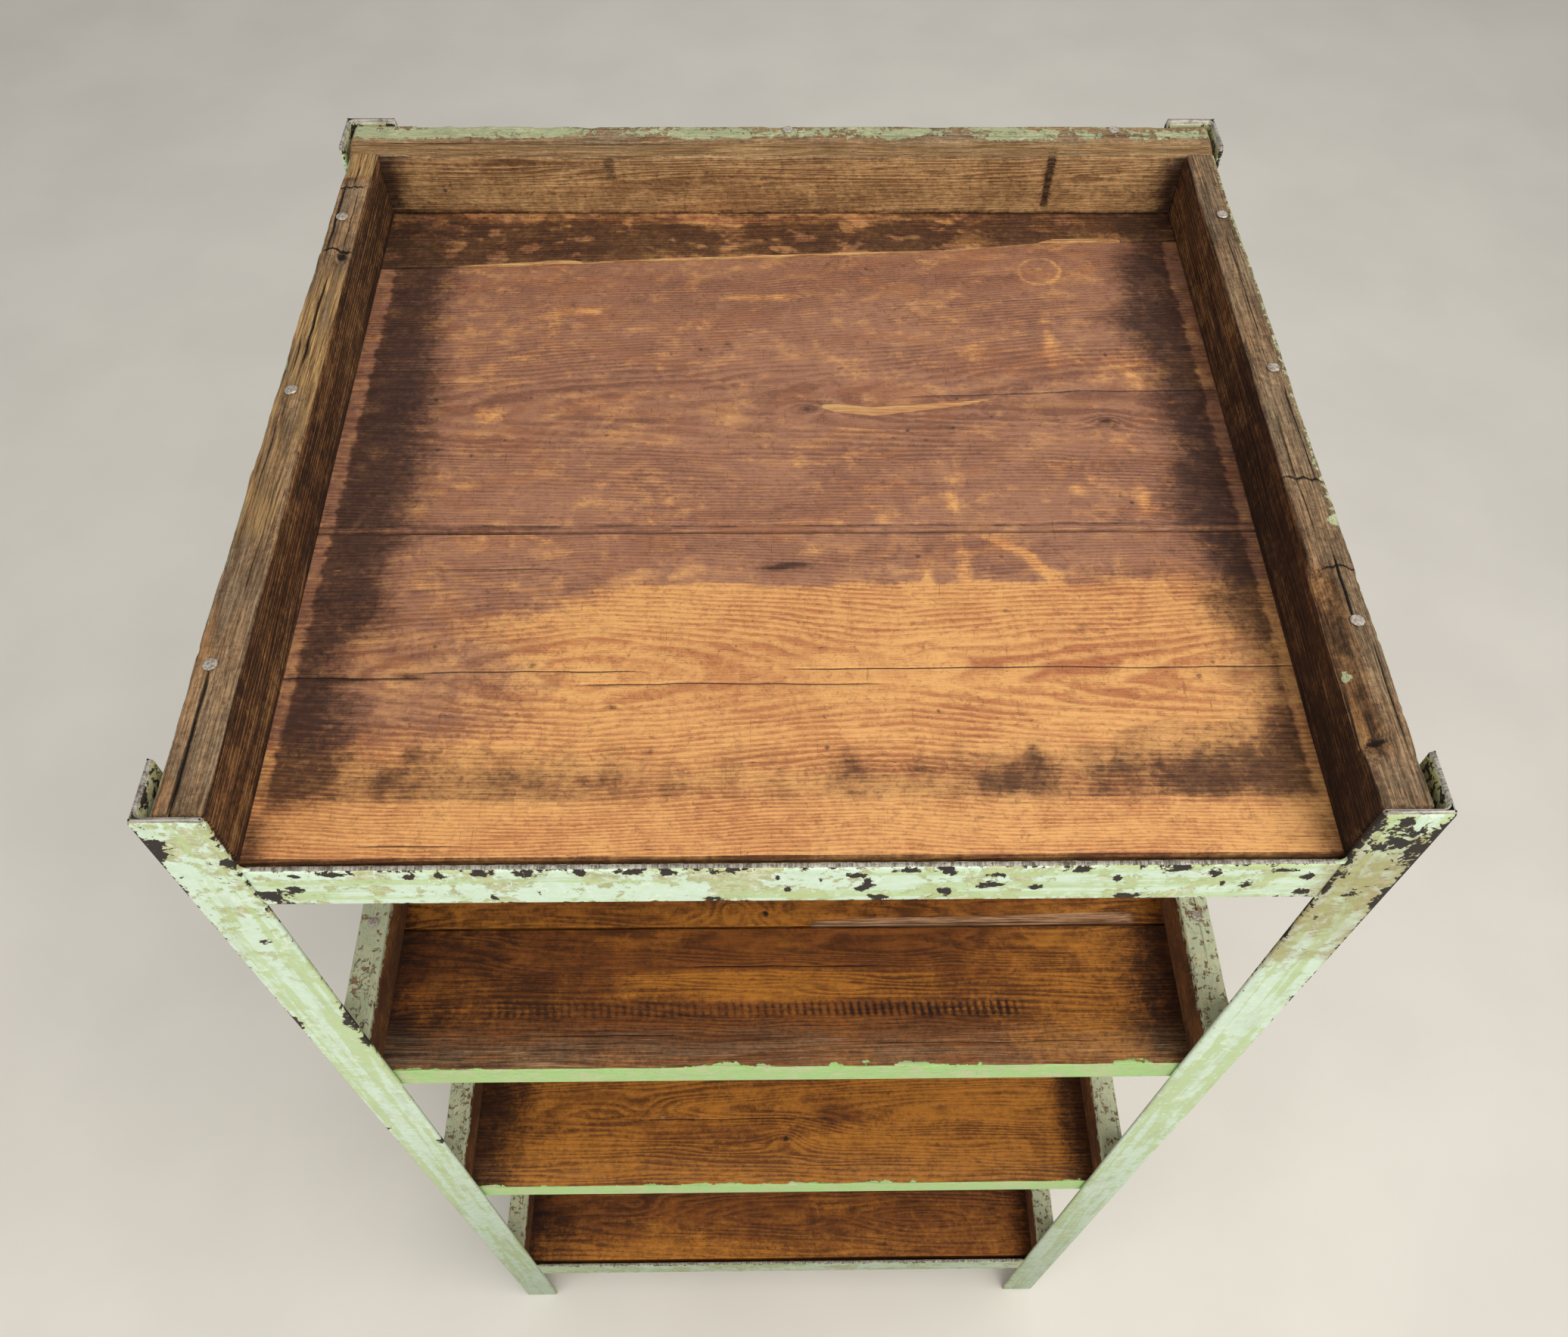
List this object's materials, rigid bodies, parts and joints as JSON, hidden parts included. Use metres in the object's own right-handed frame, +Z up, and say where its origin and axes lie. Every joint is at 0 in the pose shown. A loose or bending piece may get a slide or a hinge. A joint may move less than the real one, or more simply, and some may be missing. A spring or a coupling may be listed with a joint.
{
  "type": "potting bench",
  "caption": "Potting bench: a painted angle-steel frame with a deep plank tray on top and plank shelves with low lip boards below.",
  "frame": {"origin": "on the floor under the middle of the frame", "axes": "+Z up, front of the bench is -Y, +X to the right seen from the front"},
  "size_m": [0.56, 0.51, 1.105],
  "materials": {
    "frame_paint": "layered pale green enamel, chipped to dark primer and bare steel at edges and welds",
    "tray_plank_wood": "old oiled softwood, orange to red-brown with black stains, satin",
    "tray_wall_wood": "weathered split softwood with worn edges and traces of green paint",
    "shelf_plank_wood": "oiled softwood with saw marks; front edge painted green",
    "lip_wood": "softwood with worn whitish green paint on top and bare brown inner face",
    "nail_steel": "dull weathered nail heads"
  },
  "bodies": {
    "root": {"base_back_board": "lip_wood", "base_nails": "nail_steel", "base_plank_1": "shelf_plank_wood", "base_plank_2": "shelf_plank_wood", "base_rail_front": "frame_paint", "base_rail_left": "frame_paint", "base_rail_rear": "frame_paint", "base_rail_right": "frame_paint", "base_side_left": "lip_wood", "base_side_right": "lip_wood", "base_welds": "frame_paint", "leg_front_left": "frame_paint", "leg_front_right": "frame_paint", "leg_rear_left": "frame_paint", "leg_rear_right": "frame_paint", "shelf_1_back_board": "lip_wood", "shelf_1_nails": "nail_steel", "shelf_1_plank_1": "shelf_plank_wood", "shelf_1_plank_2": "shelf_plank_wood", "shelf_1_plank_3": "shelf_plank_wood", "shelf_1_rail_left": "frame_paint", "shelf_1_rail_right": "frame_paint", "shelf_1_side_left": "lip_wood", "shelf_1_side_right": "lip_wood", "shelf_1_welds": "frame_paint", "shelf_2_back_board": "lip_wood", "shelf_2_nails": "nail_steel", "shelf_2_plank_1": "shelf_plank_wood", "shelf_2_plank_2": "shelf_plank_wood", "shelf_2_rail_left": "frame_paint", "shelf_2_rail_right": "frame_paint", "shelf_2_side_left": "lip_wood", "shelf_2_side_right": "lip_wood", "shelf_2_welds": "frame_paint", "tray_back_board": "tray_wall_wood", "tray_nails": "nail_steel", "tray_plank_front": "tray_plank_wood", "tray_plank_middle": "tray_plank_wood", "tray_plank_rear": "tray_plank_wood", "tray_rail_front": "frame_paint", "tray_rail_left": "frame_paint", "tray_rail_rear": "frame_paint", "tray_rail_right": "frame_paint", "tray_side_left": "tray_wall_wood", "tray_side_right": "tray_wall_wood", "tray_welds": "frame_paint"}
  },
  "joints": []
}
